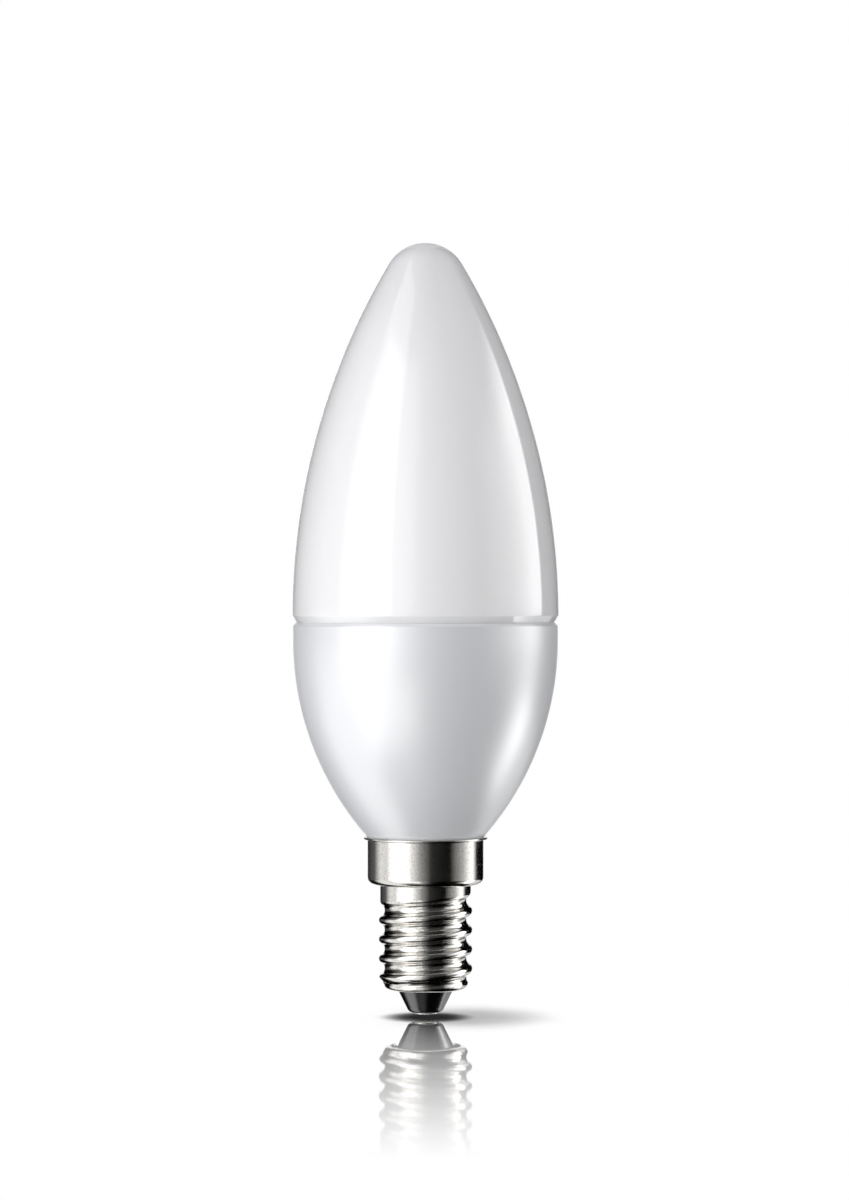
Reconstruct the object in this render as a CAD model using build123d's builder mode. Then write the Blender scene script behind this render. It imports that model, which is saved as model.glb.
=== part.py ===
from build123d import *
from math import atan, ceil, degrees, sqrt
import os

# LED candle bulb with a 14 mm screw cap, in millimetres.
# The axis is Z, and the origin is the lowest point of the centre contact.

# Lengths along the axis, stacked from the contact up
contact_height = 0.3
insulator_height = 3.4
barrel_length = 15.35
skirt_length = 6.9
housing_height = 31.35
dome_height = 55.5

# Diffuser dome
dome_diameter = 39.0
nose_radius = 6.2
dome_bevel_width = 0.6
dome_bevel_height = 1.0
plug_depth = 3.0

# Housing, with a straight band under the seam
seam_step = 0.15
seam_bevel = 0.45
seat_width = 2.4
band_height = 2.6
mouth_reveal = 0.55

# Sheet-metal shell of the cap
sheet = 0.3
skirt_diameter = 17.0
skirt_round = 1.05
rim_flare = 0.1
rim_edge = 0.45
lip_diameter = 8.4
foot_step = 0.25
foot_round = 1.1
foot_height = 1.4
neck_step = 0.2
neck_length = 1.8

# Rolled knuckle thread of the shell
thread_pitch = 2.82
thread_crest_diameter = 13.7
thread_root_diameter = 12.0
crest_share = 0.45
root_land = 0.3
head_drop = 2.04
head_sink = 0.4
head_turn = 0.9

# Insulator and centre contact
insulator_end_diameter = 4.82
insulator_round = 0.85
flange_height = 1.8
flange_bevel = 0.6
contact_diameter = 3.8
contact_crown = 0.2
stem_diameter = 1.6

# Clearances
slip_fit = 0.1
rivet_fit = 0.05

# Levels and radii that follow
lip_level = contact_height + insulator_height
shoulder_level = lip_level + barrel_length
rim_level = shoulder_level + skirt_length
seam_level = rim_level + housing_height
nose_level = seam_level + dome_height
flange_level = lip_level + sheet
flange_top = flange_level + flange_height

dome_radius = dome_diameter / 2
housing_radius = dome_radius - seam_step
recess_radius = housing_radius - seat_width
skirt_radius = skirt_diameter / 2
flare_radius = skirt_radius + rim_flare
rim_radius = flare_radius + rim_edge
crest_radius = thread_crest_diameter / 2
root_radius = thread_root_diameter / 2
neck_radius = crest_radius - neck_step
foot_radius = root_radius + foot_step
bore_radius = root_radius - sheet
lip_radius = lip_diameter / 2
contact_radius = contact_diameter / 2
stem_radius = stem_diameter / 2

# Diffuser dome: a long flank arc that stands upright on its bevel and runs into a round nose
flank_level = seam_level + dome_bevel_height
nose_centre = Vector(0, nose_level - nose_radius)
nose_rise = nose_centre.Y - flank_level
flank_radius = (dome_radius**2 - nose_radius**2 + nose_rise**2) / (2 * (dome_radius - nose_radius))
flank_centre = Vector(dome_radius - flank_radius, flank_level)
nose_start = flank_centre + (nose_centre - flank_centre).normalized() * flank_radius

with BuildPart() as diffuser_dome:
    with BuildSketch(Plane.XZ):
        with BuildLine():
            base = Polyline(
                (0, nose_level),
                (0, seam_level - plug_depth),
                (recess_radius - slip_fit, seam_level - plug_depth),
                (recess_radius - slip_fit, seam_level),
                (dome_radius - dome_bevel_width, seam_level),
                (dome_radius, flank_level),
            )
            flank = TangentArc(base @ 1, nose_start, tangent=(0, 1))
            TangentArc(flank @ 1, base @ 0, tangent=flank % 1)
        make_face()
    revolve(axis=Axis.Z)

# Housing: a straight band and one arc down to the mouth, a recess for the plug of the dome,
# and a stepped spigot that fills the cap
band_level = seam_level - band_height
recess_level = seam_level - plug_depth - slip_fit
spigot_radius = skirt_radius - sheet - slip_fit
spigot_level = flange_top + slip_fit
core_radius = bore_radius - slip_fit
step_level = shoulder_level + sheet + slip_fit

with BuildPart() as housing:
    with BuildSketch(Plane.XZ):
        with BuildLine():
            spigot = Polyline(
                (0, recess_level),
                (0, spigot_level),
                (core_radius, spigot_level),
                (core_radius, step_level),
                (spigot_radius - skirt_round, step_level),
                (spigot_radius, step_level + skirt_round),
                (spigot_radius, rim_level),
                (rim_radius - mouth_reveal, rim_level),
            )
            bowl = TangentArc((housing_radius, band_level), spigot @ 1, tangent=(0, -1))
            Polyline(
                bowl @ 0,
                (housing_radius, seam_level - seam_bevel),
                (housing_radius - seam_bevel, seam_level),
                (recess_radius, seam_level),
                (recess_radius, recess_level),
                spigot @ 0,
            )
        make_face()
    revolve(axis=Axis.Z)

# Screw shell, first its barrel: a plain core with the ridge of the thread laid on turn by turn.
# The ridge follows a right-hand helix and has a knuckle section, two tangent arcs a side.
# Its head sinks into the neck on a closing cone, and the foot is turned last.
neck_level = shoulder_level - neck_length
head_level = neck_level - head_drop
ridge_turns = ceil((head_level - lip_level) / thread_pitch)
ridge_level = head_level - ridge_turns * thread_pitch
stock_level = ridge_level - thread_pitch
thread_depth = crest_radius - root_radius
stock_radius = crest_radius + thread_depth
half_pitch = thread_pitch / 2
groove_radius = (1 - crest_share) * (thread_depth**2 + half_pitch**2) / (2 * thread_depth)
land_rise = groove_radius - sqrt(groove_radius**2 - (root_land / 2) ** 2)
land_edge = (root_radius + land_rise, half_pitch - root_land / 2)
inflection = (crest_radius - crest_share * thread_depth, crest_share * half_pitch)
buried_radius = (root_radius + bore_radius) / 2
head_height = head_turn * thread_pitch
ridge_runs = [(ridge_level + turn * thread_pitch, thread_pitch, 0) for turn in range(ridge_turns)]
ridge_runs.append((head_level, head_height, -degrees(atan(head_sink / head_height))))

with BuildPart() as screw_shell:
    with BuildSketch(Plane.XZ):
        with BuildLine():
            Polyline(
                (0, stock_level),
                (stock_radius, stock_level),
                (stock_radius, lip_level + foot_height),
                (root_radius, lip_level + foot_height + foot_step),
                (root_radius, neck_level - neck_radius + root_radius),
                (neck_radius, neck_level),
                (neck_radius, shoulder_level + sheet),
                (0, shoulder_level + sheet),
                close=True,
            )
        make_face()
    revolve(axis=Axis.Z)

    for level, height, cone in ridge_runs:
        with BuildLine() as ridge_path:
            Helix(thread_pitch, height, root_radius, center=(0, 0, level), cone_angle=cone)
        with BuildSketch(Plane((0, 0, level), x_dir=(1, 0, 0), z_dir=(0, -1, 0))):
            with BuildLine():
                crest = TangentArc((crest_radius, 0), inflection, tangent=(0, 1))
                flank = TangentArc(crest @ 1, land_edge, tangent=crest % 1)
                Polyline(flank @ 1, (buried_radius, land_edge[1]), (buried_radius, 0))
                mirror(about=Plane.XZ)
            make_face()
        sweep(path=ridge_path.wire(), is_frenet=True)

    with BuildSketch(Plane.XZ):
        with BuildLine():
            base = Line((0, lip_level), (foot_radius - foot_round, lip_level))
            corner = TangentArc(base @ 1, (foot_radius, lip_level + foot_round), tangent=(1, 0))
            Polyline(
                corner @ 1,
                (foot_radius, lip_level + foot_height + foot_step / 2),
                (stock_radius + sheet, lip_level + foot_height + thread_depth),
                (stock_radius + sheet, stock_level - sheet),
                (0, stock_level - sheet),
                base @ 0,
            )
        make_face()
    revolve(axis=Axis.Z, mode=Mode.SUBTRACT)

    # Drawn skirt with a flared rim
    with BuildSketch(Plane.XZ):
        with BuildLine():
            base = Polyline(
                (0, rim_level),
                (0, shoulder_level),
                (skirt_radius - skirt_round, shoulder_level),
            )
            corner = TangentArc(base @ 1, (skirt_radius, shoulder_level + skirt_round), tangent=(1, 0))
            Polyline(
                corner @ 1,
                (skirt_radius, rim_level - sheet - rim_flare),
                (flare_radius, rim_level - sheet),
                (rim_radius, rim_level - sheet),
                (rim_radius, rim_level),
                base @ 0,
            )
        make_face()
    revolve(axis=Axis.Z)

    # Hollow, one sheet inside the skirt and the roots of the thread, with the hole in the lip
    with BuildSketch(Plane.XZ):
        with BuildLine():
            Polyline(
                (0, lip_level - sheet),
                (lip_radius, lip_level - sheet),
                (lip_radius, flange_level),
                (bore_radius - flange_bevel, flange_level),
                (bore_radius, flange_level + flange_bevel),
                (bore_radius, shoulder_level + sheet),
                (skirt_radius - skirt_round, shoulder_level + sheet),
                (skirt_radius - sheet, shoulder_level + skirt_round),
                (skirt_radius - sheet, rim_level - sheet - rim_flare),
                (flare_radius - sheet, rim_level),
                (flare_radius - sheet, rim_level + sheet),
                (0, rim_level + sheet),
                close=True,
            )
        make_face()
    revolve(axis=Axis.Z, mode=Mode.SUBTRACT)

# Cap insulator: a blunt glass cone under the lip, with a flange that the lip holds
cone_radius = lip_radius - slip_fit
flange_radius = bore_radius - slip_fit
hole_radius = stem_radius + rivet_fit

with BuildPart() as cap_insulator:
    with BuildSketch(Plane.XZ):
        with BuildLine():
            cone = FilletPolyline(
                (hole_radius, contact_height),
                (insulator_end_diameter / 2, contact_height),
                (cone_radius, lip_level),
                radius=insulator_round,
            )
            Polyline(
                cone @ 1,
                (cone_radius, flange_level),
                (flange_radius - flange_bevel, flange_level),
                (flange_radius, flange_level + flange_bevel),
                (flange_radius, flange_top),
                (hole_radius, flange_top),
                cone @ 0,
            )
        make_face()
    revolve(axis=Axis.Z)

# Centre contact: a rivet with a low crowned head and a stem through the insulator
with BuildPart() as centre_contact:
    with BuildSketch(Plane.XZ):
        with BuildLine():
            head = Polyline(
                (0, 0),
                (0, flange_top),
                (stem_radius, flange_top),
                (stem_radius, contact_height),
                (contact_radius, contact_height),
                (contact_radius, contact_crown),
            )
            TangentArc(head @ 0, head @ 1, tangent=(1, 0))
        make_face()
    revolve(axis=Axis.Z)

diffuser_dome.part.label = "diffuser_dome"
housing.part.label = "housing"
screw_shell.part.label = "screw_shell"
cap_insulator.part.label = "cap_insulator"
centre_contact.part.label = "centre_contact"

os.makedirs("parts", exist_ok=True)
export_step(diffuser_dome.part, "parts/diffuser_dome.step")
export_step(housing.part, "parts/housing.step")
export_step(screw_shell.part, "parts/screw_shell.step")
export_step(cap_insulator.part, "parts/cap_insulator.step")
export_step(centre_contact.part, "parts/centre_contact.step")
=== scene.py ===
from cmath import phase
from math import atan2, ceil, cos, pi, radians, sin, tan

import bmesh
import bpy
from bpy.props import FloatProperty, FloatVectorProperty, IntProperty, PointerProperty
from bpy.types import Operator, Panel, PropertyGroup
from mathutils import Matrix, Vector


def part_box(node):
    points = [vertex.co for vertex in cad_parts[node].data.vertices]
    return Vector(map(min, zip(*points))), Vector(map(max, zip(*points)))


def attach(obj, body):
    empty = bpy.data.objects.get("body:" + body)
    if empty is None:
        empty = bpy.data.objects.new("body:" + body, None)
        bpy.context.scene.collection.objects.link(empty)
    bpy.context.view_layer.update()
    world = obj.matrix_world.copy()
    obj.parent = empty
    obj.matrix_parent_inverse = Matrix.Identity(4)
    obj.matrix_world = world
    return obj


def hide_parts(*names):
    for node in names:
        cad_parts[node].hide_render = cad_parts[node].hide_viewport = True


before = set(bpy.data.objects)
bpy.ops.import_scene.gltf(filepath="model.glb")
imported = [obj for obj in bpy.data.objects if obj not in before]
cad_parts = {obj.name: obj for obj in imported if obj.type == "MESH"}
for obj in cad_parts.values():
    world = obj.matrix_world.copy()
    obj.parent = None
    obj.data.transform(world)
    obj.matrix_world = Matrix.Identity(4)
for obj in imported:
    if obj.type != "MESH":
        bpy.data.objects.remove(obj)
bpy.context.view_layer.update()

bl_info = {
    "name": "Candle bulb",
    "version": (1, 0, 0),
    "blender": (4, 5, 0),
    "location": "3D View > Sidebar > Bulb",
    "description": "Builds a candle bulb with a rolled screw cap on a white studio stage",
    "category": "Add Mesh",
}

MM = 0.001
DOME_LOW, DOME_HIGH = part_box("diffuser_dome")
HOUSING_LOW, HOUSING_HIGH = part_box("housing")
SHELL_LOW, SHELL_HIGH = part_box("screw_shell")
INSULATOR_LOW, INSULATOR_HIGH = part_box("cap_insulator")
CONTACT_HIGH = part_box("centre_contact")[1]


# Settings


def length(name, description, default):
    """A length of the object, shown in the scene's units."""
    return FloatProperty(name=name, description=description, default=default, unit="LENGTH", precision=5)


def number(name, description, default):
    """A plain number."""
    return FloatProperty(name=name, description=description, default=default)


def share(name, description, default):
    """A plain number from 0 to 1."""
    return FloatProperty(name=name, description=description, default=default, min=0.0, max=1.0)


def colour(name, description, default):
    """A linear colour of a finish."""
    return FloatVectorProperty(
        name=name, description=description, default=default, subtype="COLOR", min=0.0, max=1.0)


class DomeSettings(PropertyGroup):
    """Sizes and colours of the opal dome."""

    radius: length("Radius", "Widest radius of the dome", DOME_HIGH.x)
    nose_level: length("Nose level", "Height of the tip of the nose", DOME_HIGH.z)
    seam_level: length("Seam level", "Height of the seam with the housing", HOUSING_HIGH.z)
    plug_level: length("Plug level", "Lower end of the plug inside the housing", DOME_LOW.z)
    plug_radius: length("Plug radius", "Radius of the plug inside the housing", 16.85 * MM)
    nose_radius: length("Nose radius", "Radius of the round nose", 6.2 * MM)
    bevel_width: length("Bevel width", "Width of the bevel over the seam", 0.6 * MM)
    bevel_height: length("Bevel height", "Height of the bevel over the seam", 1.0 * MM)
    edge_radius: length("Edge radius", "Rounding of the upper edge of the bevel", 0.2 * MM)
    tint: colour("Tint", "Colour of the opal plastic", (0.78, 0.78, 0.795))
    # The nose tint only makes the opal darker towards the nose, over the height that NOSE_FADE gives
    nose_tint: colour("Nose tint", "Colour at the nose, where the wall is thicker", (0.72, 0.72, 0.74))


class HousingSettings(PropertyGroup):
    """Sizes and colours of the bowl-shaped housing."""

    radius: length("Radius", "Radius of the straight band", HOUSING_HIGH.x)
    seam_level: length("Seam level", "Height of the seam with the dome", HOUSING_HIGH.z)
    mouth_level: length("Mouth level", "Height of the mouth that stands on the cap", SHELL_HIGH.z)
    mouth_reveal: length("Mouth reveal", "How far the mouth stays inside the rim of the cap", 0.55 * MM)
    seam_bevel: length("Seam bevel", "Bevel under the seam", 0.45 * MM)
    edge_radius: length("Edge radius", "Rounding of the edges of that bevel", 0.15 * MM)
    band_height: length("Band height", "Height of the straight band under the seam", 2.6 * MM)
    recess_radius: length("Recess radius", "Radius of the recess for the plug", 16.95 * MM)
    recess_depth: length("Recess depth", "Depth of the recess for the plug", 3.1 * MM)
    spigot_level: length("Spigot level", "Lower end of the spigot inside the cap", HOUSING_LOW.z)
    spigot_radius: length("Spigot radius", "Radius of the spigot in the skirt", 8.1 * MM)
    core_radius: length("Core radius", "Radius of the spigot in the thread", 5.6 * MM)
    step_level: length("Step level", "Height of the step of the spigot", 19.45 * MM)
    tint: colour("Tint", "Colour of the satin plastic", (0.69, 0.70, 0.724))


class ShellSettings(PropertyGroup):
    """Sizes and colours of the screw shell and its rolled thread."""

    rim_level: length("Rim level", "Height of the rim", SHELL_HIGH.z)
    rim_radius: length("Rim radius", "Radius of the flared rim", SHELL_HIGH.x)
    lip_level: length("Lip level", "Height of the turned-in lip", SHELL_LOW.z)
    lip_radius: length("Lip radius", "Radius of the hole in the lip", 4.2 * MM)
    sheet: length("Sheet", "Thickness of the drawn sheet", 0.3 * MM)
    skirt_radius: length("Skirt radius", "Radius of the plain skirt", 8.5 * MM)
    skirt_round: length("Skirt round", "Rounding at the lower end of the skirt", 1.05 * MM)
    skirt_length: length("Skirt length", "Length of the skirt with its rim", 6.9 * MM)
    flare: length("Flare", "Width and height of the flare under the rim", 0.1 * MM)
    neck_radius: length("Neck radius", "Radius of the plain neck over the thread", 6.65 * MM)
    foot_radius: length("Foot radius", "Radius of the plain foot under the thread", 6.25 * MM)
    foot_round: length("Foot round", "Rounding at the lower end of the foot", 1.1 * MM)
    foot_height: length("Foot height", "Height of the plain foot over the lip", 1.05 * MM)
    pitch: length("Pitch", "Rise of the thread in one turn", 2.82 * MM)
    crest_radius: length("Crest radius", "Radius of the crests of the thread", 6.85 * MM)
    root_radius: length("Root radius", "Radius of the roots of the thread", 6.0 * MM)
    crest_level: length("Crest level", "Height of the last full crest, on the right-hand side", 15.21 * MM)
    crest_share: share("Crest share", "Share of a flank that the arc of the crest takes", 0.45)
    run_out: number("Run-out", "Turns over which the last groove fades out", 0.42)
    bore_radius: length("Bore radius", "Radius of the bore inside the thread", 5.7 * MM)
    row_step: length("Row step", "Spacing of the mesh rows along the thread", 0.085 * MM)
    tint: colour("Tint", "Colour of the nickel plating", (0.70, 0.685, 0.655))
    pit_tint: colour("Pit tint", "Colour in the fine pits of the plating", (0.40, 0.375, 0.35))


class EndSettings(PropertyGroup):
    """Sizes and colours of the insulator and the centre contact."""

    insulator_level: length("Insulator level", "Lower end of the insulator", INSULATOR_LOW.z)
    insulator_top: length("Insulator top", "Upper end of the flange inside the shell", INSULATOR_HIGH.z)
    flange_radius: length("Flange radius", "Radius of the flange inside the shell", INSULATOR_HIGH.x)
    flange_bevel: length("Flange bevel", "Bevel under the flange", 0.6 * MM)
    cone_radius: length("Cone radius", "Radius of the cone at the lip", 4.1 * MM)
    end_radius: length("End radius", "Radius of the cone at its lower end", 2.41 * MM)
    end_round: length("End round", "Rounding of the lower end", 0.85 * MM)
    hole_radius: length("Hole radius", "Radius of the hole for the stem", 0.85 * MM)
    contact_radius: length("Contact radius", "Radius of the head of the contact", CONTACT_HIGH.x)
    contact_crown: length("Contact crown", "Height of the crown of the contact", 0.2 * MM)
    contact_height: length("Contact height", "Height of the head of the contact", 0.3 * MM)
    contact_top: length("Contact top", "Upper end of the stem", CONTACT_HIGH.z)
    stem_radius: length("Stem radius", "Radius of the stem", 0.8 * MM)
    glass_tint: colour("Glass tint", "Colour of the black glass", (0.001, 0.001, 0.0012))
    contact_tint: colour("Contact tint", "Colour of the plated contact", (0.62, 0.61, 0.585))


class StageSettings(PropertyGroup):
    """Camera, floor and studio panels."""

    camera_distance: length("Camera distance", "From the camera to the axis of the bulb", 516 * MM)
    camera_height: length("Camera height", "Height of the level camera", 60.6 * MM)
    camera_side: length("Camera side", "How far the camera stands to the left", 0.15 * MM)
    lens: number("Lens", "Focal length in millimetres", 105.8)
    ambient: number("Ambient", "Strength of the even light", 0.2)
    studio_radius: length("Studio radius", "Radius of the rings of studio panels", 0.9)
    tent_low: length("Tent base", "Height of the base of the dark tent", -2.45)
    tent_high: length("Tent roof", "Height of the roof of the dark tent", 1.65)
    roof_light: share("Roof light", "Light of the roof in metal and glass", 0.12)
    roof_fill: share("Roof fill", "Light from the roof that metal and glass don't show", 0.74)
    floor_level: length("Floor level", "Height of the floor, just under the contact", -0.45 * MM)
    floor_front: length("Floor front", "Reach of the oval floor to the front and the back", 139 * MM)
    floor_half: length("Floor half width", "Half the width of the oval floor", 52 * MM)
    core_lean: number("Core lean", "How far the core of the shadow falls to the right", 0.15)
    core_reach: length("Core reach", "How far the core of the shadow reaches from the bulb", 4.9 * MM)
    core_low: share("Core low", "Open share of the sky at which the core is darkest", 0.5)
    core_depth: share("Core depth", "Light that is left where the core is darkest", 0.045)
    tail_lean: number("Tail lean", "How far the tail of the shadow falls to the right", 1.4)
    tail_reach: length("Tail reach", "How far the tail of the shadow reaches from the bulb", 16 * MM)
    tail_low: share("Tail low", "Open share of the sky at which the tail is darkest", 0.7)
    tail_depth: share("Tail depth", "Light that is left where the tail is darkest", 0.5)
    polish_inner: length("Polish inner", "How far in front of the axis the polish is full", 2 * MM)
    polish_outer: length("Polish outer", "How far in front of the axis the polish has faded", 130 * MM)
    strip_inner: length("Strip inner", "Half width of the strip that is fully polished", 10 * MM)
    strip_outer: length("Strip outer", "Half width at which the polish of the strip has faded", 18 * MM)
    polish_low: share("Polish low", "Slant at which the polish begins to reflect", 0.80)
    polish_high: share("Polish high", "Slant at which the polish reflects fully", 0.84)


class BulbSettings(PropertyGroup):
    """All settings of the bulb and its stage."""

    dome: PointerProperty(type=DomeSettings)
    housing: PointerProperty(type=HousingSettings)
    shell: PointerProperty(type=ShellSettings)
    end: PointerProperty(type=EndSettings)
    stage: PointerProperty(type=StageSettings)
    segments: IntProperty(name="Segments", description="Mesh steps round the axis", default=192, min=24)
    thread_segments: IntProperty(
        name="Thread segments", description="Mesh steps round the thread", default=256, min=48)


# Outlines and turned meshes

# A radius under this lies on the axis
ON_AXIS = 1e-7
# Distance of a rounding's support points from its corner, as a share of the reach of its arc
SUPPORT_REACH = 1.15
# Edges that bend by more than this are shaded as sharp
SHARP_BEND = radians(50)


def arc_points(centre, radius, start, end, steps):
    """Points of an arc about a centre in the half plane, from one angle to another in radians."""
    turns = [start + (end - start) * i / steps for i in range(steps + 1)]
    return [(centre[0] + radius * cos(t), centre[1] + radius * sin(t)) for t in turns]


def rounded(corners, steps=6):
    """An outline from corners (radius, height) or (radius, height, rounding).

    Each rounding becomes an arc, with a support point a little way out on either side that keeps
    the shading of the neighbouring faces flat.
    """
    # Places are complex numbers, the radius real and the height imaginary
    places = [complex(*corner[:2]) for corner in corners]
    points = []
    for i, corner in enumerate(corners):
        if len(corner) == 2 or corner[2] == 0:
            points.append(tuple(corner[:2]))
            continue
        place, rounding = places[i], corner[2]
        into = places[i - 1] - place
        out = places[(i + 1) % len(places)] - place
        into, out = into / abs(into), out / abs(out)
        half = abs(phase(out / into)) / 2
        reach = rounding / tan(half)
        centre = place + (into + out) / abs(into + out) * rounding / sin(half)
        first = phase(place + into * reach - centre)
        last = phase(place + out * reach - centre)
        sweep = (last - first + pi) % (2 * pi) - pi
        before, after = (place + way * reach * SUPPORT_REACH for way in (into, out))
        points.append((before.real, before.imag))
        points += arc_points((centre.real, centre.imag), rounding, first, first + sweep, steps)
        points.append((after.real, after.imag))
    return points


def turned(name, outline, segments, closed=False):
    """A mesh object turned from an outline that runs from axis to axis, or is a closed ring."""
    bm = bmesh.new()
    turns = [2 * pi * i / segments for i in range(segments)]
    rings = []
    for radius, height in outline:
        if radius < ON_AXIS:
            rings.append([bm.verts.new((0, 0, height))])
        else:
            rings.append([bm.verts.new((radius * cos(t), radius * sin(t), height)) for t in turns])
    pairs = list(zip(rings, rings[1:]))
    if closed:
        pairs.append((rings[-1], rings[0]))
    for low, high in pairs:
        for i in range(segments):
            j = i + 1
            corners = [low[i % len(low)], low[j % len(low)], high[j % len(high)], high[i % len(high)]]
            bm.faces.new(list(dict.fromkeys(corners)))
    bmesh.ops.recalc_face_normals(bm, faces=bm.faces)
    mesh = bpy.data.meshes.new(name)
    bm.to_mesh(mesh)
    bm.free()
    mesh.shade_smooth()
    mesh.set_sharp_from_angle(angle=SHARP_BEND)
    piece = bpy.data.objects.new(name, mesh)
    bpy.context.scene.collection.objects.link(piece)
    return piece


def stand_in(piece, node, material):
    """Gives a piece its finish and lets it stand for its node."""
    piece.data.materials.clear()
    piece.data.materials.append(material)
    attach(piece, "root")
    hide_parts(node)


# Node helpers


def put(tree, kind, inputs=None, **settings):
    """A new node with its settings, and with values or links for its inputs by name or place."""
    node = tree.nodes.new(kind)
    for name, value in settings.items():
        setattr(node, name, value)
    for key, value in (inputs or {}).items():
        feed(tree, node.inputs[key], value)
    return node


def feed(tree, socket, value):
    """Links an output to a socket, or sets a plain value on it."""
    if isinstance(value, bpy.types.NodeSocket):
        tree.links.new(value, socket)
    else:
        socket.default_value = value


def maths(tree, operation, *values):
    """The result of a Math node."""
    return put(tree, "ShaderNodeMath", dict(enumerate(values)), operation=operation).outputs[0]


def plus(tree, first, second):
    """A sum."""
    return maths(tree, "ADD", first, second)


def minus(tree, first, second):
    """A difference."""
    return maths(tree, "SUBTRACT", first, second)


def times(tree, first, second):
    """A product."""
    return maths(tree, "MULTIPLY", first, second)


def between(tree, factor, first, second):
    """A value on the way from the first to the second."""
    return plus(tree, first, times(tree, factor, minus(tree, second, first)))


def map_range(tree, value, low, high, to_low, to_high, smooth=True):
    """A value carried from one range to another, eased at both ends unless told otherwise."""
    kind = "SMOOTHSTEP" if smooth else "LINEAR"
    inputs = dict(enumerate((value, low, high, to_low, to_high)))
    return put(tree, "ShaderNodeMapRange", inputs, interpolation_type=kind).outputs[0]


def parts(tree, vector):
    """The X, Y and Z of a vector."""
    return put(tree, "ShaderNodeSeparateXYZ", {0: vector}).outputs


def object_place(tree):
    """Place of a surface point in the object's own coordinates."""
    return put(tree, "ShaderNodeTexCoord").outputs["Object"]


def rgba(tint, light=1.0):
    """A colour property with full alpha, made lighter or darker."""
    return (*(light * v for v in tint), 1.0)


def mixed(tree, factor, first, second):
    """A mix of two colours."""
    inputs = {"Factor": factor, "A": first, "B": second}
    return put(tree, "ShaderNodeMix", inputs, data_type="RGBA").outputs["Result"]


def noise(tree, vector, size, detail):
    """The value of a Noise Texture with lumps of a given size."""
    scale = maths(tree, "DIVIDE", 1.0, size)
    return put(tree, "ShaderNodeTexNoise", {"Vector": vector, "Scale": scale, "Detail": detail}).outputs[0]


def number_inputs(tree, inputs):
    """Gives a node tree its number inputs {name: default}."""
    for label, default in inputs.items():
        socket = tree.interface.new_socket(name=label, in_out="INPUT", socket_type="NodeSocketFloat")
        socket.default_value = default


def new_group(name, inputs, outputs):
    """A shader group with number inputs {name: default} and outputs; gives the tree and its ends."""
    tree = bpy.data.node_groups.new(name, "ShaderNodeTree")
    number_inputs(tree, inputs)
    for label in outputs:
        tree.interface.new_socket(name=label, in_out="OUTPUT", socket_type="NodeSocketFloat")
    return tree, put(tree, "NodeGroupInput"), put(tree, "NodeGroupOutput")


def group_node(tree, group, **values):
    """Places a node group in a material, with its input values given by name."""
    inputs = {label.replace("_", " ").capitalize(): value for label, value in values.items()}
    return put(tree, "ShaderNodeGroup", inputs, node_tree=group)


# Surface effects that the finishes share

# Range in which nearly all of a noise lies
NOISE_RANGE = (0.3, 0.7)
# Draw rings run round the axis, so their noise hardly changes sideways
RING_STRETCH = (0.03, 0.03, 1.0)
# Range of the noise in which a speck becomes a pit
PIT_RANGE = (0.52, 0.68)


def moulded_skin():
    """Skin of a moulded plastic: a fine grain and a slow mottle from the flow of the melt."""
    found = bpy.data.node_groups.get("moulded_skin")
    if found:
        return found
    inputs = {"Grain size": 0.2 * MM, "Mottle size": 10 * MM}
    tree, ins, outs = new_group("moulded_skin", inputs, ["Grain", "Mottle"])
    place = object_place(tree)
    feed(tree, outs.inputs["Grain"], noise(tree, place, ins.outputs["Grain size"], detail=3.0))
    feed(tree, outs.inputs["Mottle"], noise(tree, place, ins.outputs["Mottle size"], detail=2.0))
    return tree


def plated_skin():
    """Skin of a plated metal: draw rings round the axis, fine pits and a slow change of polish."""
    found = bpy.data.node_groups.get("plated_skin")
    if found:
        return found
    inputs = {"Ring size": 0.1 * MM, "Pit size": 0.2 * MM, "Cloud size": 3 * MM}
    tree, ins, outs = new_group("plated_skin", inputs, ["Rings", "Pits", "Cloud"])
    place = object_place(tree)
    stretched = put(tree, "ShaderNodeVectorMath", {0: place, 1: RING_STRETCH}, operation="MULTIPLY")
    rings = noise(tree, stretched.outputs[0], ins.outputs["Ring size"], detail=2.0)
    specks = noise(tree, place, ins.outputs["Pit size"], detail=1.0)
    feed(tree, outs.inputs["Rings"], rings)
    feed(tree, outs.inputs["Pits"], map_range(tree, specks, *PIT_RANGE, 0.0, 1.0))
    feed(tree, outs.inputs["Cloud"], noise(tree, place, ins.outputs["Cloud size"], detail=3.0))
    return tree


def new_material(name):
    """A node material with a Principled shader; gives the material, its tree and the shader."""
    material = bpy.data.materials.new(name)
    material.use_nodes = True
    tree = material.node_tree
    return material, tree, tree.nodes["Principled BSDF"]


def bump(tree, shader, height, depth, strength):
    """A Bump node that feeds the shader's normal."""
    node = put(tree, "ShaderNodeBump", {"Strength": strength, "Distance": depth, "Height": height})
    feed(tree, shader.inputs["Normal"], node.outputs["Normal"])


# Finishes

# Roughness of each finish, from its smoothest to its dullest places
OPAL_ROUGHNESS = (0.07, 0.10)
SATIN_ROUGHNESS = (0.30, 0.35)
GLASS_ROUGHNESS = (0.15, 0.22)
SHELL_ROUGHNESS = (0.10, 0.16)
CONTACT_ROUGHNESS = (0.21, 0.27)
# Height over which the opal turns greyer towards the nose, and the nose's share of that change
NOSE_FADE = 22 * MM
NOSE_SHARE = 0.8
# Light of the satin's mottle, of the glass's waves and of the contact's pits, as shares of the plain tint
SATIN_MOTTLE = 0.965
GLASS_WAVES = 2.2
CONTACT_PITS = 0.6
# What a pit adds to the nickel in colour and roughness, and the relief of the rings beside that of the pits
PIT_COLOUR = 0.5
PIT_ROUGHNESS = 0.08
RING_RELIEF = 0.5


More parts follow.
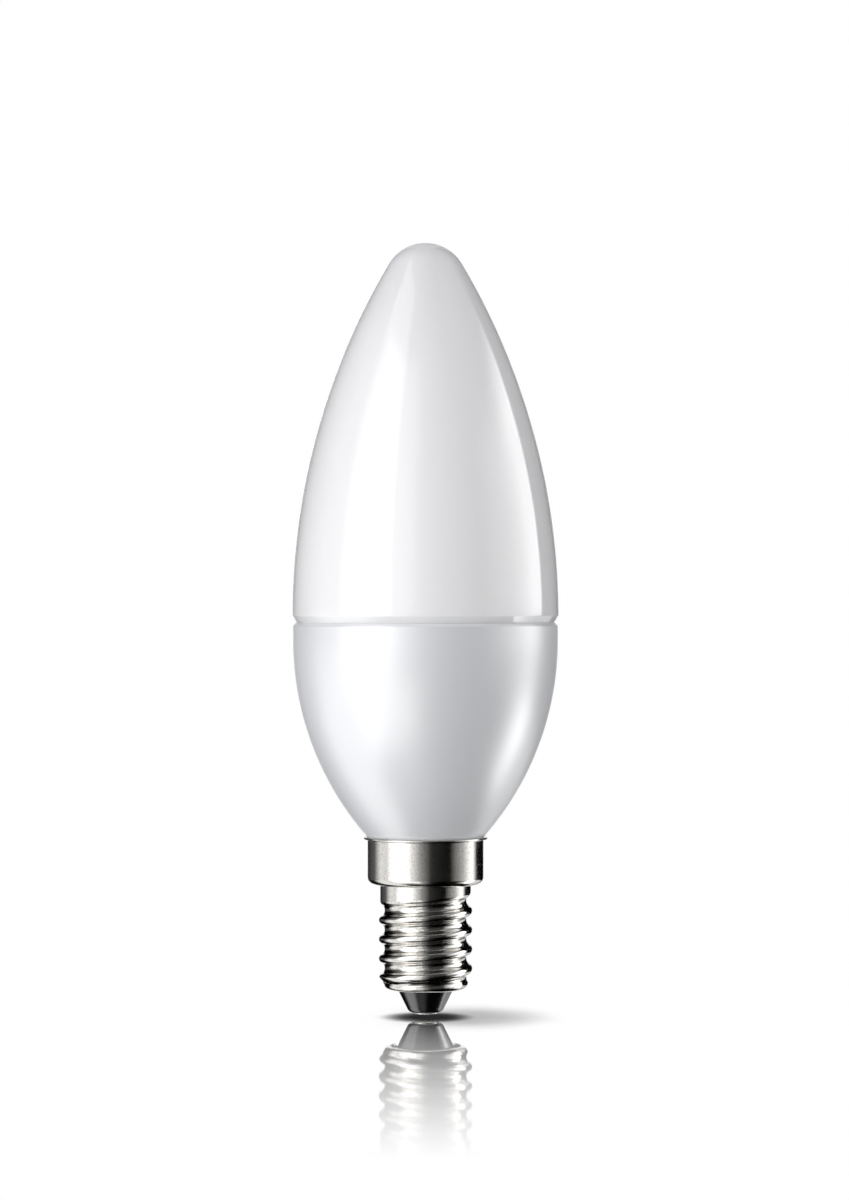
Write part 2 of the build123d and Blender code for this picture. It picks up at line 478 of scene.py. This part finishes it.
def opal_plastic(dome):
    """Glossy opal plastic, a little greyer towards the nose."""
    material, tree, shader = new_material("opal_plastic")
    skin = group_node(tree, moulded_skin(), grain_size=0.9 * MM, mottle_size=14 * MM)
    mottle = skin.outputs["Mottle"]
    height = parts(tree, object_place(tree))["Z"]
    to_nose = map_range(tree, height, dome.nose_level - NOSE_FADE, dome.nose_level, 0.0, NOSE_SHARE)
    factor = plus(tree, to_nose, times(tree, mottle, 1 - NOSE_SHARE))
    feed(tree, shader.inputs["Base Color"], mixed(tree, factor, rgba(dome.tint), rgba(dome.nose_tint)))
    feed(tree, shader.inputs["Roughness"], map_range(tree, mottle, *NOISE_RANGE, *OPAL_ROUGHNESS))
    shader.inputs["IOR"].default_value = 1.8
    shader.inputs["Subsurface Weight"].default_value = 0.35
    shader.inputs["Subsurface Radius"].default_value = (1.0, 0.95, 0.9)
    shader.inputs["Subsurface Scale"].default_value = 4 * MM
    bump(tree, shader, skin.outputs["Grain"], depth=0.002 * MM, strength=0.2)
    return material


def satin_plastic(housing):
    """Satin cool white plastic with the fine grain of an etched mould."""
    material, tree, shader = new_material("satin_plastic")
    skin = group_node(tree, moulded_skin(), grain_size=0.16 * MM, mottle_size=9 * MM)
    grain = skin.outputs["Grain"]
    tint = mixed(tree, skin.outputs["Mottle"], rgba(housing.tint), rgba(housing.tint, SATIN_MOTTLE))
    feed(tree, shader.inputs["Base Color"], tint)
    feed(tree, shader.inputs["Roughness"], map_range(tree, grain, *NOISE_RANGE, *SATIN_ROUGHNESS))
    shader.inputs["IOR"].default_value = 3.0
    bump(tree, shader, grain, depth=0.004 * MM, strength=0.12)
    return material


def nickel_plate(name, tint, pit_tint, roughness):
    """Bright nickel with draw rings and fine pits."""
    material, tree, shader = new_material(name)
    skin = group_node(tree, plated_skin(), ring_size=0.12 * MM, pit_size=0.22 * MM, cloud_size=2.5 * MM)
    pits = skin.outputs["Pits"]
    plating = mixed(tree, times(tree, pits, PIT_COLOUR), tint, pit_tint)
    feed(tree, shader.inputs["Base Color"], plating)
    polish = map_range(tree, skin.outputs["Cloud"], *NOISE_RANGE, *roughness)
    feed(tree, shader.inputs["Roughness"], plus(tree, polish, times(tree, pits, PIT_ROUGHNESS)))
    shader.inputs["Metallic"].default_value = 1.0
    relief = minus(tree, times(tree, skin.outputs["Rings"], RING_RELIEF), pits)
    bump(tree, shader, relief, depth=0.003 * MM, strength=0.35)
    return material


def black_glass(end):
    """Glossy opaque black glass with the slow waves of a pressed surface."""
    material, tree, shader = new_material("black_glass")
    skin = group_node(tree, moulded_skin(), grain_size=0.5 * MM, mottle_size=2.2 * MM)
    mottle, grain = skin.outputs["Mottle"], skin.outputs["Grain"]
    tint = mixed(tree, mottle, rgba(end.glass_tint), rgba(end.glass_tint, GLASS_WAVES))
    feed(tree, shader.inputs["Base Color"], tint)
    feed(tree, shader.inputs["Roughness"], map_range(tree, grain, *NOISE_RANGE, *GLASS_ROUGHNESS))
    shader.inputs["IOR"].default_value = 2.2
    bump(tree, shader, mottle, depth=0.01 * MM, strength=0.3)
    return material


# The rolled thread

# Turns over which the crest sinks to the radius of the neck
SINK_TURNS = 0.5


def rolled_thread():
    """Geometry nodes that roll a knuckle thread into the marked part of a turned blank.

    A groove follows a right-hand helix. Its section is two tangent arcs a side, and above the last
    full crest it fades out into the plain neck. The turned foot of the blank stays where it is lower.
    """
    labels = (
        "Pitch", "Crest radius", "Root radius", "Neck radius",
        "Crest level", "Crest share", "Run-out", "Blend")
    tree = bpy.data.node_groups.new("rolled_thread", "GeometryNodeTree")
    tree.is_modifier = True
    tree.interface.new_socket(name="Blank", in_out="INPUT", socket_type="NodeSocketGeometry")
    number_inputs(tree, dict.fromkeys(labels, 0.0))
    tree.interface.new_socket(name="Finish", in_out="INPUT", socket_type="NodeSocketMaterial")
    tree.interface.new_socket(name="Shell", in_out="OUTPUT", socket_type="NodeSocketGeometry")
    ins, outs = put(tree, "NodeGroupInput"), put(tree, "NodeGroupOutput")
    sizes = [ins.outputs[label] for label in labels]
    pitch, crest, root, neck, crest_level, crest_share, run_out, blend = sizes

    # Place on the helix: the whole part of the climb is the turn, the rest the place across the groove
    x, y, z = parts(tree, put(tree, "GeometryNodeInputPosition").outputs[0])
    blank = maths(tree, "SQRT", plus(tree, times(tree, x, x), times(tree, y, y)))
    round_axis = maths(tree, "FRACT", maths(tree, "DIVIDE", maths(tree, "ARCTAN2", y, x), 2 * pi))
    climb = maths(tree, "DIVIDE", minus(tree, z, crest_level), pitch)
    climb = minus(tree, climb, round_axis)
    turn = plus(tree, maths(tree, "FLOOR", climb), round_axis)

    # Knuckle section: an arc over the crest and an arc through the groove, tangent where they meet
    half = times(tree, pitch, 0.5)
    depth = minus(tree, crest, root)
    squares = plus(tree, times(tree, depth, depth), times(tree, half, half))
    full_arc = maths(tree, "DIVIDE", squares, times(tree, depth, 2.0))
    crest_arc = times(tree, full_arc, crest_share)
    groove_arc = minus(tree, full_arc, crest_arc)
    from_crest = times(tree, maths(tree, "PINGPONG", climb, 0.5), pitch)
    from_root = minus(tree, half, from_crest)

    def drop(arc, offset):
        """Sagitta of an arc at an offset from its middle."""
        inside = minus(tree, times(tree, arc, arc), times(tree, offset, offset))
        return minus(tree, arc, maths(tree, "SQRT", maths(tree, "MAXIMUM", inside, 0.0)))

    in_groove = maths(tree, "GREATER_THAN", from_crest, times(tree, half, crest_share))
    through_groove = minus(tree, depth, drop(groove_arc, from_root))
    cut = between(tree, in_groove, drop(crest_arc, from_crest), through_groove)
    cut_share = maths(tree, "DIVIDE", cut, depth)

    # The crest sinks to the neck and the last groove fades out along the helix
    fade = map_range(tree, turn, 0.0, run_out, 1.0, 0.0)
    below = map_range(tree, turn, 0.0, SINK_TURNS, crest, neck)
    above = map_range(tree, plus(tree, turn, 1.0), 0.0, SINK_TURNS, crest, neck)
    across = map_range(tree, maths(tree, "FRACT", climb), 0.0, 1.0, 0.0, 1.0)
    top = between(tree, across, below, above)
    groove = times(tree, times(tree, fade, cut_share), minus(tree, top, root))
    rolled = maths(tree, "SMOOTH_MIN", minus(tree, top, groove), blank, blend)

    # Push the marked vertices in or out to that radius
    stretch = maths(tree, "DIVIDE", rolled, maths(tree, "MAXIMUM", blank, ON_AXIS))
    moved = put(tree, "ShaderNodeCombineXYZ", {0: times(tree, x, stretch), 1: times(tree, y, stretch), 2: z})
    marked = put(tree, "GeometryNodeInputNamedAttribute", {"Name": "rolled"}, data_type="BOOLEAN")
    place = put(tree, "GeometryNodeSetPosition", {
        "Geometry": ins.outputs["Blank"],
        "Selection": marked.outputs["Attribute"],
        "Position": moved.outputs[0],
    })
    real = put(tree, "GeometryNodeRealizeInstances", {0: place.outputs[0]})
    finish = put(tree, "GeometryNodeSetMaterial", {
        "Geometry": real.outputs[0],
        "Material": ins.outputs["Finish"],
    })
    feed(tree, outs.inputs["Shell"], finish.outputs[0])
    return tree


def run_nodes(piece, tree, **values):
    """Runs a geometry tree on a piece, with its inputs given by name, and keeps the plain mesh."""
    modifier = piece.modifiers.new(tree.name, "NODES")
    modifier.node_group = tree
    names = {label.replace("_", " "): value for label, value in values.items()}
    for item in tree.interface.items_tree:
        label = item.name.replace("-", " ").lower()
        if item.in_out == "INPUT" and label in names:
            modifier[item.identifier] = names.pop(label)
    if names:
        raise RuntimeError(f"{tree.name} has no input named {sorted(names)}")
    graph = bpy.context.evaluated_depsgraph_get()
    mesh = bpy.data.meshes.new_from_object(piece.evaluated_get(graph), depsgraph=graph)
    blank = piece.data
    piece.modifiers.remove(modifier)
    piece.data = mesh
    mesh.name = piece.name
    bpy.data.meshes.remove(blank)


# Operators, one for each piece and one for the stage


class BULB_OT_dome(Operator):
    """Make the opal diffuser dome"""

    bl_idname = "bulb.dome"
    bl_label = "Diffuser dome"

    def execute(self, context):
        bulb = context.scene.bulb
        dome = bulb.dome
        flank_level = dome.seam_level + dome.bevel_height
        nose_level = dome.nose_level - dome.nose_radius
        rise = nose_level - flank_level
        spread = dome.radius - dome.nose_radius
        flank_radius = (dome.radius**2 - dome.nose_radius**2 + rise**2) / (2 * spread)
        flank_centre = (dome.radius - flank_radius, flank_level)
        lean = atan2(rise, -flank_centre[0])
        # The flank begins a little higher, to leave room for the rounding under it
        flank_start = 0.012
        plug_round, seam_round = 0.2 * MM, 0.06 * MM
        flank = arc_points(flank_centre, flank_radius, flank_start, lean, steps=72)
        nose = arc_points((0, nose_level), dome.nose_radius, lean, pi / 2, steps=24)
        outline = rounded([
            (0, dome.plug_level),
            (dome.plug_radius, dome.plug_level, plug_round),
            (dome.plug_radius, dome.seam_level),
            (dome.radius - dome.bevel_width, dome.seam_level, seam_round),
            (dome.radius, flank_level, dome.edge_radius),
            *flank,
            *nose[1:-1],
            (0, dome.nose_level),
        ])
        piece = turned("opal_dome", outline, bulb.segments)
        stand_in(piece, "diffuser_dome", opal_plastic(dome))
        return {"FINISHED"}


class BULB_OT_housing(Operator):
    """Make the satin white housing"""

    bl_idname = "bulb.housing"
    bl_label = "Housing"

    def execute(self, context):
        bulb = context.scene.bulb
        house = bulb.housing
        mouth = (bulb.shell.rim_radius - house.mouth_reveal, house.mouth_level)
        band_level = house.seam_level - house.band_height
        reach, fall = house.radius - mouth[0], band_level - mouth[1]
        bowl_radius = (reach**2 + fall**2) / (2 * reach)
        bowl_centre = (house.radius - bowl_radius, band_level)
        lean = atan2(mouth[1] - bowl_centre[1], mouth[0] - bowl_centre[0])
        bowl = arc_points(bowl_centre, bowl_radius, lean, 0.0, steps=48)
        recess_level = house.seam_level - house.recess_depth
        core_round, spigot_round, mouth_round = 0.2 * MM, 0.3 * MM, 0.05 * MM
        outline = rounded([
            (0, house.spigot_level),
            (house.core_radius, house.spigot_level, core_round),
            (house.core_radius, house.step_level),
            (house.spigot_radius - bulb.shell.skirt_round, house.step_level),
            (house.spigot_radius, house.step_level + bulb.shell.skirt_round, spigot_round),
            (house.spigot_radius, house.mouth_level),
            (*mouth, mouth_round),
            *bowl[1:],
            (house.radius, house.seam_level - house.seam_bevel, house.edge_radius),
            (house.radius - house.seam_bevel, house.seam_level, house.edge_radius),
            (house.recess_radius, house.seam_level),
            (house.recess_radius, recess_level),
            (0, recess_level),
        ])
        piece = turned("satin_housing", outline, bulb.segments)
        stand_in(piece, "housing", satin_plastic(house))
        return {"FINISHED"}


class BULB_OT_shell(Operator):
    """Make the nickel-plated screw shell with its rolled thread"""

    bl_idname = "bulb.shell"
    bl_label = "Screw shell"

    def execute(self, context):
        bulb = context.scene.bulb
        shell = bulb.shell
        shoulder_level = shell.rim_level - shell.skirt_length
        flare_level = shell.rim_level - shell.sheet
        flare_radius = shell.skirt_radius + shell.flare
        skirt_inside = shell.skirt_radius - shell.sheet
        sheet_level = shell.lip_level + shell.sheet
        bore_bevel = bulb.end.flange_bevel
        inside_round, bore_round, lip_inside, lip_round = 0.3 * MM, 0.1 * MM, 0.08 * MM, 0.12 * MM
        neck_round, flare_foot, flare_head, rim_round = 0.1 * MM, 0.06 * MM, 0.03 * MM, 0.1 * MM
        inside = rounded([
            (flare_radius - shell.sheet, shell.rim_level),
            (skirt_inside, flare_level - shell.flare),
            (skirt_inside, shoulder_level + shell.skirt_round, inside_round),
            (shell.skirt_radius - shell.skirt_round, shoulder_level + shell.sheet),
            (shell.bore_radius, shoulder_level + shell.sheet, bore_round),
            (shell.bore_radius, sheet_level + bore_bevel),
            (shell.bore_radius - bore_bevel, sheet_level),
            (shell.lip_radius, sheet_level, lip_inside),
            (shell.lip_radius, shell.lip_level, lip_round),
        ])
        foot_centre = (shell.foot_radius - shell.foot_round, shell.lip_level + shell.foot_round)
        foot = arc_points(foot_centre, shell.foot_round, -pi / 2, 0, steps=12)

        # The blank widens over the foot and stands out over the crests, until the thread is rolled into it
        foot_slope, blank_spare, blend = 1.3, 0.4 * MM, 0.25 * MM
        foot_level = shell.lip_level + shell.foot_height
        barrel_length = shoulder_level - neck_round - foot_level
        blank_radius = shell.crest_radius + blank_spare
        rows = ceil(barrel_length / shell.row_step)
        barrel = []
        for row in range(1, rows + 1):
            rise = barrel_length * row / rows
            barrel.append((min(blank_radius, shell.foot_radius + rise / foot_slope), foot_level + rise))

        hollow_radius = shell.neck_radius + neck_round
        hollow_centre = (hollow_radius, shoulder_level - neck_round)
        hollow = arc_points(hollow_centre, neck_round, pi, pi / 2, steps=6)
        outside = rounded([
            (hollow_radius, shoulder_level),
            (shell.skirt_radius, shoulder_level, shell.skirt_round),
            (shell.skirt_radius, flare_level - shell.flare, flare_foot),
            (flare_radius, flare_level, flare_head),
            (shell.rim_radius, flare_level, rim_round),
            (shell.rim_radius, shell.rim_level, rim_round),
            (flare_radius - shell.sheet, shell.rim_level),
        ], steps=10)
        outline = inside + foot + barrel + hollow[1:-1] + outside[:-1]
        piece = turned("screw_shell_rolled", outline, bulb.thread_segments, closed=True)

        # Mark the rings of the foot and the barrel, and roll the thread there
        marks = piece.data.attributes.new("rolled", "BOOLEAN", "POINT")
        first = len(inside)
        last = first + len(foot) + len(barrel)
        flags = [first <= i // bulb.thread_segments < last for i in range(len(piece.data.vertices))]
        marks.data.foreach_set("value", flags)
        finish = nickel_plate("nickel_plate", rgba(shell.tint), rgba(shell.pit_tint), SHELL_ROUGHNESS)
        run_nodes(
            piece, rolled_thread(), pitch=shell.pitch, crest_radius=shell.crest_radius,
            root_radius=shell.root_radius, neck_radius=shell.neck_radius, crest_level=shell.crest_level,
            crest_share=shell.crest_share, run_out=shell.run_out, blend=blend, finish=finish)
        piece.data.attributes.remove(piece.data.attributes["rolled"])
        stand_in(piece, "screw_shell", finish)
        return {"FINISHED"}


class BULB_OT_insulator(Operator):
    """Make the black glass insulator"""

    bl_idname = "bulb.insulator"
    bl_label = "Cap insulator"

    def execute(self, context):
        bulb = context.scene.bulb
        end = bulb.end
        flange_level = bulb.shell.lip_level + bulb.shell.sheet
        hole_round, cone_round, flange_round = 0.05 * MM, 0.15 * MM, 0.1 * MM
        outline = rounded([
            (end.hole_radius, end.insulator_level, hole_round),
            (end.end_radius, end.insulator_level, end.end_round),
            (end.cone_radius, bulb.shell.lip_level, cone_round),
            (end.cone_radius, flange_level),
            (end.flange_radius - end.flange_bevel, flange_level),
            (end.flange_radius, flange_level + end.flange_bevel),
            (end.flange_radius, end.insulator_top, flange_round),
            (end.hole_radius, end.insulator_top, hole_round),
        ], steps=10)
        piece = turned("glass_insulator", outline, bulb.segments, closed=True)
        stand_in(piece, "cap_insulator", black_glass(end))
        return {"FINISHED"}


class BULB_OT_contact(Operator):
    """Make the plated centre contact"""

    bl_idname = "bulb.contact"
    bl_label = "Centre contact"

    def execute(self, context):
        bulb = context.scene.bulb
        end = bulb.end
        crown_radius = (end.contact_radius**2 + end.contact_crown**2) / (2 * end.contact_crown)
        spread = atan2(end.contact_radius, crown_radius - end.contact_crown)
        crown = arc_points((0, crown_radius), crown_radius, -pi / 2, -pi / 2 + spread, steps=16)
        edge_round, stem_round = 0.06 * MM, 0.1 * MM
        outline = rounded([
            (0, 0),
            *crown[1:-1],
            (*crown[-1], edge_round),
            (end.contact_radius, end.contact_height),
            (end.stem_radius, end.contact_height),
            (end.stem_radius, end.contact_top, stem_round),
            (0, end.contact_top),
        ])
        piece = turned("rivet_contact", outline, bulb.segments // 2)
        tint, pit_tint = rgba(end.contact_tint), rgba(end.contact_tint, CONTACT_PITS)
        finish = nickel_plate("contact_metal", tint, pit_tint, CONTACT_ROUGHNESS)
        stand_in(piece, "centre_contact", finish)
        return {"FINISHED"}


# Stage

# Light of the key panels and of the panels on the right, at bearings in degrees to the right of the camera
KEY_LIGHT = (
    (-165, 0.0), (-120, 0.0), (-79, 0.25), (-79, 0.6), (-56, 3.2), (-30, 2.8),
    (-30, 1.35), (-12, 1.1), (-6, 0.4), (10, 0.06), (50, 0.05))
RIGHT_LIGHT = ((50, 0.05), (80, 1.7), (105, 3.7), (118, 3.3), (119, 0.0), (165, 0.0))
# Each ring: lower and upper edge in metres, share of its light at the upper edge, and its light by bearing.
# Panels without light are dark cloth.
STUDIO_RINGS = {
    "table_ring": (-0.20, 0.06, 1.0, (
        (-165, 0.0), (-120, 0.13), (-100, 1.08), (-79, 0.94), (-79, 1.5), (-56, 2.1), (-30, 1.5),
        (-30, 1.25), (-10, 0.36), (10, 0.03), (50, 0.0), (80, 0.56), (105, 1.9), (120, 0.02),
        (120, 0.0), (165, 0.0))),
    "upper_ring": (0.06, 0.46, 1.0, KEY_LIGHT),
    "upper_fade": (0.46, 1.00, 0.7, KEY_LIGHT),
    "right_ring": (0.06, 0.46, 1.0, RIGHT_LIGHT),
    "right_fade": (0.46, 0.68, 0.15, RIGHT_LIGHT),
    "right_top": (0.68, 1.00, 1.0, (
        (50, 0.2), (80, 0.4), (105, 0.55), (119, 0.5), (119, 0.0), (165, 0.0))),
    "lower_ring": (-0.72, -0.20, 1.0, (
        (-165, 0.0), (-128, 0.0), (-110, 1.2), (-79, 1.1), (-79, 0.8), (-56, 2.0), (-30, 1.4),
        (-12, 1.3), (-6, 0.4), (10, 0.02), (30, 0.0), (70, 0.0))),
    "lower_right": (-0.46, -0.20, 1.0, (
        (70, 0.0), (88, 0.5), (105, 4.8), (120, 1.0), (150, 0.8), (165, 0.0))),
    "ground_right": (-0.72, -0.46, 1.0, (
        (70, 0.0), (88, 0.8), (105, 3.4), (120, 1.0), (150, 0.8), (165, 0.0))),
    "ground_ring": (-2.40, -0.72, 1.0, (
        (-165, 0.0), (-130, 0.0), (-110, 1.2), (-80, 1.2), (-68, 1.0), (-56, 0.15), (-30, 0.22),
        (-12, 0.22), (6, 0.04), (20, 0.0), (165, 0.0))),
    "high_ring": (1.00, 1.62, 1.0, (
        (-165, 0.0), (-79, 0.0), (-79, 1.0), (-30, 1.0), (-30, 0.15), (50, 0.15), (50, 0.5),
        (120, 0.5), (120, 0.0), (165, 0.0))),
    "back_cloth": (0.22, 1.62, 1.0, ((165, 0.45), (195, 0.45))),
}
# Fill that metal and glass don't show, hung inside the other rings
FILL_RINGS = {
    "front_fill": (-0.72, 1.00, 1.0, ((-30, 1.75), (-12, 1.7), (10, 0.95), (34, 0.0))),
    "low_fill": (-2.00, -0.72, 1.0, ((-120, 0.9), (-60, 1.0), (0, 1.4), (40, 0.25), (120, 0.15))),
    "back_light": (-0.40, 1.60, 1.0, ((140, 0.0), (165, 1.9), (195, 1.9), (220, 0.0))),
}
# Radius of the tent and place of the fill, as shares of those of the studio rings and the roof
TENT_SPREAD = 1.08
FILL_INSET = 0.97
# Widest panel of a ring in degrees, and corners of the round cloths and the floor
PANEL_WIDTH = 3
CLOTH_CORNERS = 48
FLOOR_CORNERS = 96
# Open share of the sky at which the floor has no shadow
OPEN_SKY = 0.97


def link_stage(name, mesh, material):
    """Adds a stage object that is no part of the bulb."""
    mesh.materials.append(material)
    thing = bpy.data.objects.new(name, mesh)
    bpy.context.scene.collection.objects.link(thing)
    return thing


def bare_material(name):
    """A node material without a shader; gives the material, its tree and the socket of its surface."""
    material, tree, shader = new_material(name)
    tree.nodes.remove(shader)
    return material, tree, tree.nodes["Material Output"].inputs["Surface"]


def shown_ray(tree):
    """1 for a ray that shows the background: from the camera, off gloss or through a clear surface."""
    rays = put(tree, "ShaderNodeLightPath").outputs
    shiny = maths(tree, "MAXIMUM", rays["Is Glossy Ray"], rays["Is Transmission Ray"])
    return maths(tree, "MAXIMUM", rays["Is Camera Ray"], shiny)


def white_world(stage):
    """White where it is seen, and an even light elsewhere."""
    world = bpy.data.worlds.new("studio")
    world.use_nodes = True
    tree = world.node_tree
    shine = tree.nodes["Background"]
    shine.inputs["Color"].default_value = (1, 1, 1, 1)
    strength = map_range(tree, shown_ray(tree), 0.0, 1.0, stage.ambient, 1.0, smooth=False)
    feed(tree, shine.inputs["Strength"], strength)
    bpy.context.scene.world = world


def soft_shadow(tree, lean, reach, low, depth):
    """Light on the floor, by the share of the sky that the bulb leaves open to a normal that leans left."""
    leaning = put(tree, "ShaderNodeVectorMath", {0: (-lean, 0.0, 1.0)}, operation="NORMALIZE").outputs[0]
    sky = put(tree, "ShaderNodeAmbientOcclusion", {"Distance": reach, "Normal": leaning})
    return map_range(tree, sky.outputs["AO"], low, OPEN_SKY, depth, 1.0)


def polished_floor(stage):
    """Clear floor over the white ground: it shows the shadow, and a strip of it mirrors at a low angle."""
    material, tree, surface = bare_material("polished_floor")
    core = soft_shadow(tree, stage.core_lean, stage.core_reach, stage.core_low, stage.core_depth)
    tail = soft_shadow(tree, stage.tail_lean, stage.tail_reach, stage.tail_low, stage.tail_depth)
    unseen = minus(tree, 1.0, put(tree, "ShaderNodeLightPath").outputs["Is Camera Ray"])
    lit = maths(tree, "MAXIMUM", times(tree, core, tail), unseen)
    shade = put(tree, "ShaderNodeCombineColor", {0: lit, 1: lit, 2: lit}).outputs[0]
    clear = put(tree, "ShaderNodeBsdfTransparent", {"Color": shade}).outputs[0]
    mirror = put(tree, "ShaderNodeBsdfGlossy", {"Color": shade, "Roughness": 0.03}).outputs[0]

    # The polish lies in a strip in front of the bulb and fades towards the camera
    place = parts(tree, object_place(tree))
    aside = maths(tree, "ABSOLUTE", place["X"])
    ahead = times(tree, place["Y"], -1.0)
    near = map_range(tree, ahead, stage.polish_inner, stage.polish_outer, 1.0, 0.0, smooth=False)
    strip = map_range(tree, aside, stage.strip_inner, stage.strip_outer, 1.0, 0.0)
    front = map_range(tree, ahead, -stage.polish_inner, stage.polish_inner, 0.0, 1.0)
    polish = times(tree, near, times(tree, strip, front))
    slant = put(tree, "ShaderNodeLayerWeight").outputs["Facing"]
    skimmed = map_range(tree, slant, stage.polish_low, stage.polish_high, 0.0, 1.0)
    both = put(tree, "ShaderNodeMixShader", {0: times(tree, polish, skimmed), 1: clear, 2: mirror})
    feed(tree, surface, both.outputs[0])
    return material


def studio_light():
    """Light with the strength that a panel's own attribute gives."""
    material, tree, surface = bare_material("studio_light")
    strength = put(tree, "ShaderNodeAttribute", attribute_name="light").outputs["Fac"]
    feed(tree, surface, put(tree, "ShaderNodeEmission", {"Strength": strength}).outputs[0])
    return material


def lit_panel(name, points, faces, lights, material, hidden):
    """A stage panel of light that the camera doesn't see, nor metal and glass if it is hidden."""
    mesh = bpy.data.meshes.new(name)
    mesh.from_pydata(points, [], faces)
    mesh.attributes.new("light", "FLOAT", "POINT").data.foreach_set("value", lights)
    panel = link_stage(name, mesh, material)
    panel.visible_camera = False
    panel.visible_glossy = not hidden


def studio_ring(name, low, high, top_share, profile, radius, material, hidden=False):
    """A ring of panels between two heights.

    Its light runs evenly from one bearing to the next, and jumps where a bearing is given twice.
    """
    points, faces, lights = [], [], []
    for (start, first), (end, last) in zip(profile, profile[1:]):
        steps = ceil((end - start) / PANEL_WIDTH)
        for i in range(steps):
            for step in (i, i + 1):
                bearing = radians(start + (end - start) * step / steps)
                points += [(radius * sin(bearing), -radius * cos(bearing), level) for level in (low, high)]
                light = first + (last - first) * step / steps
                lights += [light, light * top_share]
            k = len(points)
            faces.append((k - 4, k - 2, k - 1, k - 3))
    lit_panel(name, points, faces, lights, material, hidden)


def oval(half_width, half_depth, level, corners):
    """Corners of a level oval about the axis, and its one face."""
    turns = [2 * pi * i / corners for i in range(corners)]
    return [(half_width * cos(t), half_depth * sin(t), level) for t in turns], [tuple(range(corners))]


def tent_cloth(name, level, radius, light, material, hidden=False):
    """A round level cloth over or under the studio, with the same light all over."""
    points, faces = oval(radius, radius, level, CLOTH_CORNERS)
    lit_panel(name, points, faces, [light] * CLOTH_CORNERS, material, hidden)


def hang_panels(stage):
    """Hangs the rings of panels and the cloths of the tent."""
    light = studio_light()
    for name, ring in STUDIO_RINGS.items():
        studio_ring(name, *ring, stage.studio_radius, light)
    for name, ring in FILL_RINGS.items():
        studio_ring(name, *ring, stage.studio_radius * FILL_INSET, light, hidden=True)
    tent_radius = stage.studio_radius * TENT_SPREAD
    fill_level = stage.tent_high * FILL_INSET
    tent_cloth("roof_fill", fill_level, tent_radius, stage.roof_fill, light, hidden=True)
    tent_cloth("tent_roof", stage.tent_high, tent_radius, stage.roof_light, light)
    tent_cloth("tent_base", stage.tent_low, tent_radius, 0.0, light)


class BULB_OT_stage(Operator):
    """Make the floor, the studio light and the camera"""

    bl_idname = "bulb.stage"
    bl_label = "Stage"

    def execute(self, context):
        scene = context.scene
        stage = scene.bulb.stage
        white_world(stage)
        points, faces = oval(stage.floor_half, stage.floor_front, stage.floor_level, FLOOR_CORNERS)
        floor = bpy.data.meshes.new("floor")
        floor.from_pydata(points, [], faces)
        link_stage("floor", floor, polished_floor(stage))
        hang_panels(stage)
        camera = bpy.data.objects.new("camera", bpy.data.cameras.new("camera"))
        camera.data.lens = stage.lens
        camera.location = (-stage.camera_side, -stage.camera_distance, stage.camera_height)
        camera.rotation_euler = (radians(90), 0, 0)
        scene.collection.objects.link(camera)
        scene.camera = camera
        scene.view_settings.view_transform = "Standard"
        return {"FINISHED"}


# Panel, registration and the run

MAKERS = (BULB_OT_dome, BULB_OT_housing, BULB_OT_shell, BULB_OT_insulator, BULB_OT_contact, BULB_OT_stage)
GROUPS = (DomeSettings, HousingSettings, ShellSettings, EndSettings, StageSettings, BulbSettings)


class BULB_PT_panel(Panel):
    """Lists the pieces of the bulb and their sizes"""

    bl_idname = "BULB_PT_panel"
    bl_label = "Candle bulb"
    bl_space_type = "VIEW_3D"
    bl_region_type = "UI"
    bl_category = "Bulb"

    def draw(self, context):
        bulb = context.scene.bulb
        for maker in MAKERS:
            self.layout.operator(maker.bl_idname)
        for group in (bulb.dome, bulb.housing, bulb.shell, bulb.end, bulb.stage):
            box = self.layout.box()
            box.label(text=type(group).__name__)
            for name in group.__annotations__:
                box.prop(group, name)


def register():
    """Registers the settings, the operators and the panel."""
    for each in (*GROUPS, *MAKERS, BULB_PT_panel):
        bpy.utils.register_class(each)
    bpy.types.Scene.bulb = PointerProperty(type=BulbSettings)


def unregister():
    """Takes everything out again."""
    del bpy.types.Scene.bulb
    for each in reversed((*GROUPS, *MAKERS, BULB_PT_panel)):
        bpy.utils.unregister_class(each)


def main():
    """Builds the bulb and its stage."""
    register()
    bpy.ops.bulb.dome()
    bpy.ops.bulb.housing()
    bpy.ops.bulb.shell()
    bpy.ops.bulb.insulator()
    bpy.ops.bulb.contact()
    bpy.ops.bulb.stage()


if __name__ == "__main__":
    main()
